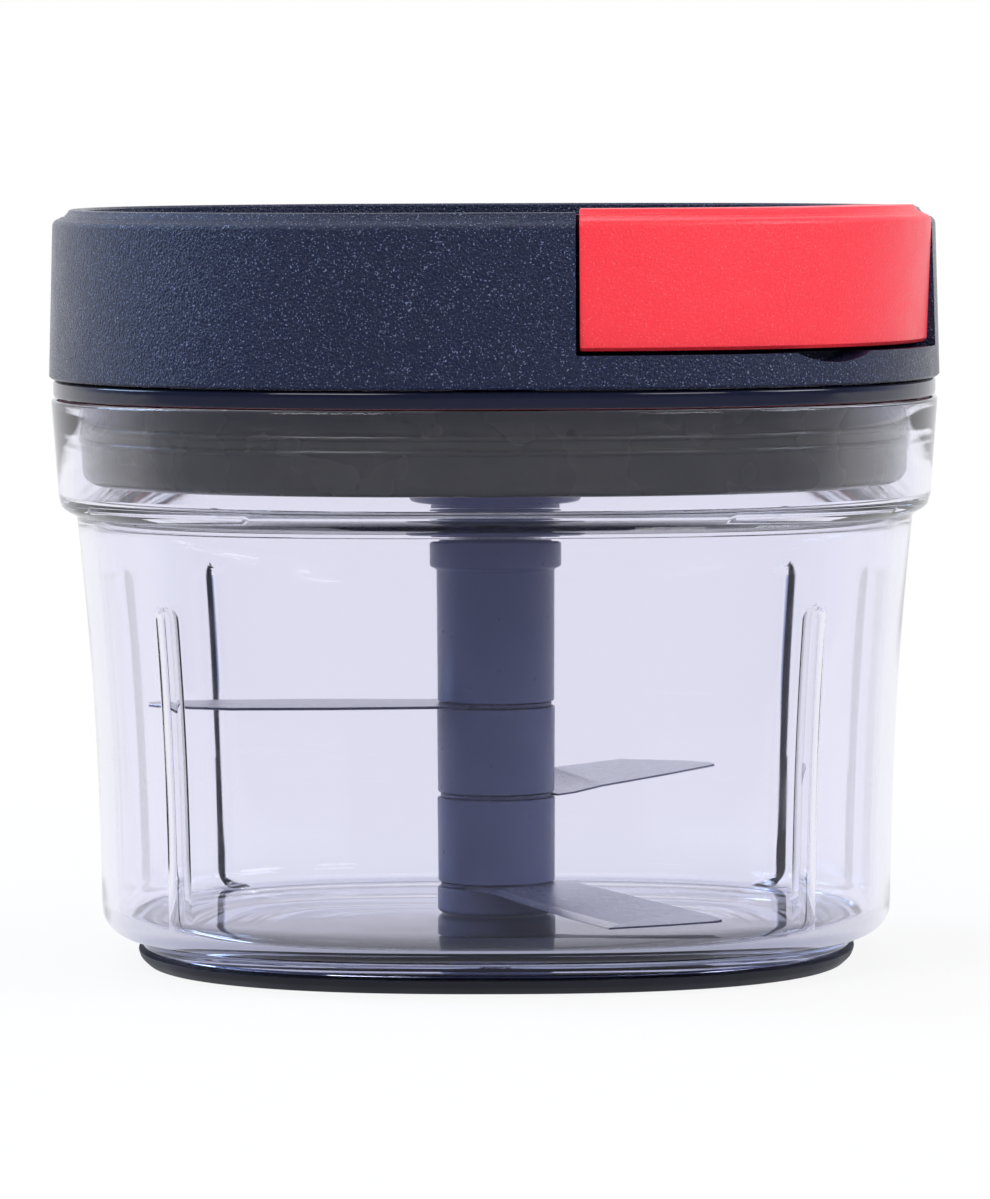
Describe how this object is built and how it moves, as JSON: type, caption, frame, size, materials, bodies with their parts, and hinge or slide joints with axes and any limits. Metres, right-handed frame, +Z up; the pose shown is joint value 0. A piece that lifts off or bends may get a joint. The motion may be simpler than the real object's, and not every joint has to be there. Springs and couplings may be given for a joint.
{
  "type": "pull cord food chopper",
  "caption": "Hand chopper: clear rounded-square bowl on a non-slip foot, a column of steel blades turned by a sprung cord reel in the lid when the corner handle is pulled",
  "frame": {"origin": "centre of the bounding box at the base, on the surface that the chopper stands on", "axes": "+Z up along the blade column, +X to the right of the front view, -Y towards the front; the handle is in the +X -Y corner"},
  "size_m": [0.13, 0.13, 0.1105],
  "materials": {
    "clear_plastic": "clear, faintly lavender, polished",
    "foot_rubber": "matte black-blue rubber",
    "plain_steel": "turned steel",
    "spring_steel": "rolled strip, slightly darker",
    "blade_steel": "brushed along the blade, ground edge",
    "grained_navy_plastic": "navy, fine moulded grain",
    "gloss_navy_plastic": "dark navy, glossy",
    "grey_silicone": "grey-olive, satin",
    "dark_red_rubber": "dark red, matte",
    "cord": "braided, off-white",
    "bush_brass": "machined",
    "reel_plastic": "grey moulded plastic",
    "slate_plastic": "slate blue, satin",
    "nylon": "natural nylon",
    "coral_plastic": "coral red, satin"
  },
  "bodies": {
    "bowl": {"anti_slip_foot": "foot_rubber", "bowl": "clear_plastic", "bowl_pin": "plain_steel"},
    "lid": {"lid_shell": "grained_navy_plastic", "lid_base": "gloss_navy_plastic", "plug_seal": "grey_silicone", "rim_gasket": "dark_red_rubber", "lid_screw_1": "plain_steel", "lid_screw_2": "plain_steel", "lid_screw_3": "plain_steel", "lid_screw_4": "plain_steel", "cord_eyelet": "plain_steel", "reel_axle": "plain_steel", "recoil_spring": "spring_steel", "cord_lead": "cord", "hub_bush": "bush_brass"},
    "reel": {"cord_reel": "reel_plastic", "spring_cover": "reel_plastic", "cord_winding": "cord", "drive_coupler": "slate_plastic", "hub_circlip": "spring_steel"},
    "blades": {"spindle": "slate_plastic", "spindle_bush": "nylon", "column_lower": "slate_plastic", "column_middle": "slate_plastic", "column_upper": "slate_plastic", "column_clip": "spring_steel", "blade_lower": "blade_steel", "blade_middle": "blade_steel", "blade_upper": "blade_steel"},
    "handle": {"handle_grip": "coral_plastic", "handle_back": "coral_plastic", "cord_end": "cord", "cord_knot": "cord"}
  },
  "joints": [
    {"name": "lid_lift", "type": "slide", "parent": "bowl", "child": "lid", "axis": [0, 0, 1], "range_m": [0, 0.2]},
    {"name": "handle_pull", "type": "slide", "parent": "lid", "child": "handle", "axis": [0.7071, -0.7071, 0], "range_m": [0, 0.3], "stiffness_N_per_m": 40, "springref_m": -0.12},
    {"name": "reel_spin", "type": "hinge", "parent": "lid", "child": "reel", "pos_m": [0, 0, 0.0902], "axis": [0, 0, 1], "range_deg": [-812, 0]},
    {"name": "blade_release", "type": "slide", "parent": "reel", "child": "blades", "axis": [0, 0, -1], "range_m": [0, 0.1]}
  ],
  "couplings": [
    {"joint": "reel_spin", "follows": "handle_pull", "rad_per_m": -47.17},
    {"joint": "blade_release", "follows": "lid_lift", "ratio": 0.5}
  ]
}
